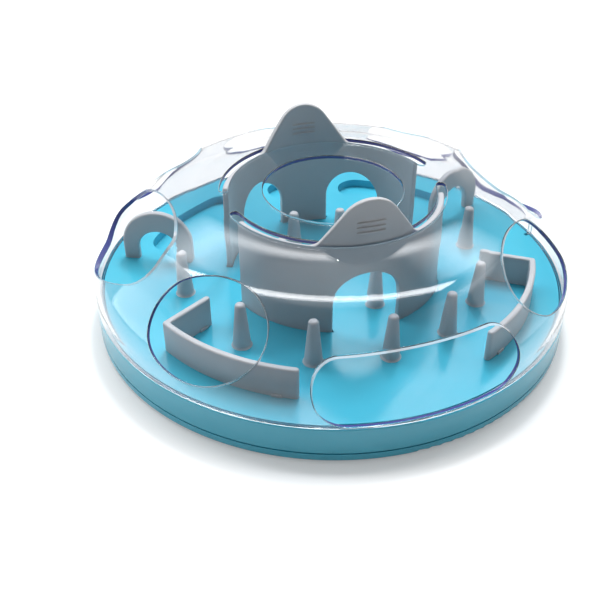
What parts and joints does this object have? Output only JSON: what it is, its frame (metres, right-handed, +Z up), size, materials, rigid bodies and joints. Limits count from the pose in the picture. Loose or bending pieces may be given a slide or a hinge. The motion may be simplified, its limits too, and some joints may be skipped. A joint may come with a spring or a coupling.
{
  "type": "slow feeder bowl",
  "caption": "Round slow feeder with a tray of pegs, low walls and arches under a clear dome with paw openings and a lift-out turret.",
  "frame": {"origin": "centre of the bowl on the surface it stands on", "axes": "+Z up, -Y towards the front wall of the turret, +X to its right as seen from the front"},
  "size_m": [0.3, 0.3, 0.1118],
  "materials": {
    "turquoise_plastic": "smooth moulded, semi-gloss",
    "grey_plastic": "fine satin moulded",
    "clear_plastic": "clear, polished",
    "rubber": "matte",
    "steel": "plain"
  },
  "bodies": {
    "tray": {"base_tray": "turquoise_plastic", "base_plate": "turquoise_plastic", "corner_wall_left": "grey_plastic", "corner_wall_right": "grey_plastic", "arch_left": "grey_plastic", "arch_right": "grey_plastic", "outer_peg_1": "grey_plastic", "outer_peg_2": "grey_plastic", "outer_peg_3": "grey_plastic", "outer_peg_4": "grey_plastic", "outer_peg_5": "grey_plastic", "outer_peg_6": "grey_plastic", "outer_peg_7": "grey_plastic", "inner_peg_1": "grey_plastic", "inner_peg_2": "grey_plastic", "inner_peg_3": "grey_plastic", "inner_peg_4": "grey_plastic", "rubber_foot_1": "rubber", "rubber_foot_2": "rubber", "rubber_foot_3": "rubber", "rubber_foot_4": "rubber", "plate_screws": "steel"},
    "dome": {"dome_cover": "clear_plastic"},
    "turret_wall_front": {"turret_front": "grey_plastic"},
    "turret_wall_rear": {"turret_rear": "grey_plastic"}
  },
  "joints": [
    {"name": "dome_lift", "type": "slide", "parent": "tray", "child": "dome", "axis": [0, 0, 1], "range_m": [0, 0.095]},
    {"name": "turret_front_lift", "type": "slide", "parent": "tray", "child": "turret_wall_front", "axis": [0, 0, 1], "range_m": [0, 0.07]},
    {"name": "turret_rear_lift", "type": "slide", "parent": "tray", "child": "turret_wall_rear", "axis": [0, 0, 1], "range_m": [0, 0.07]}
  ]
}
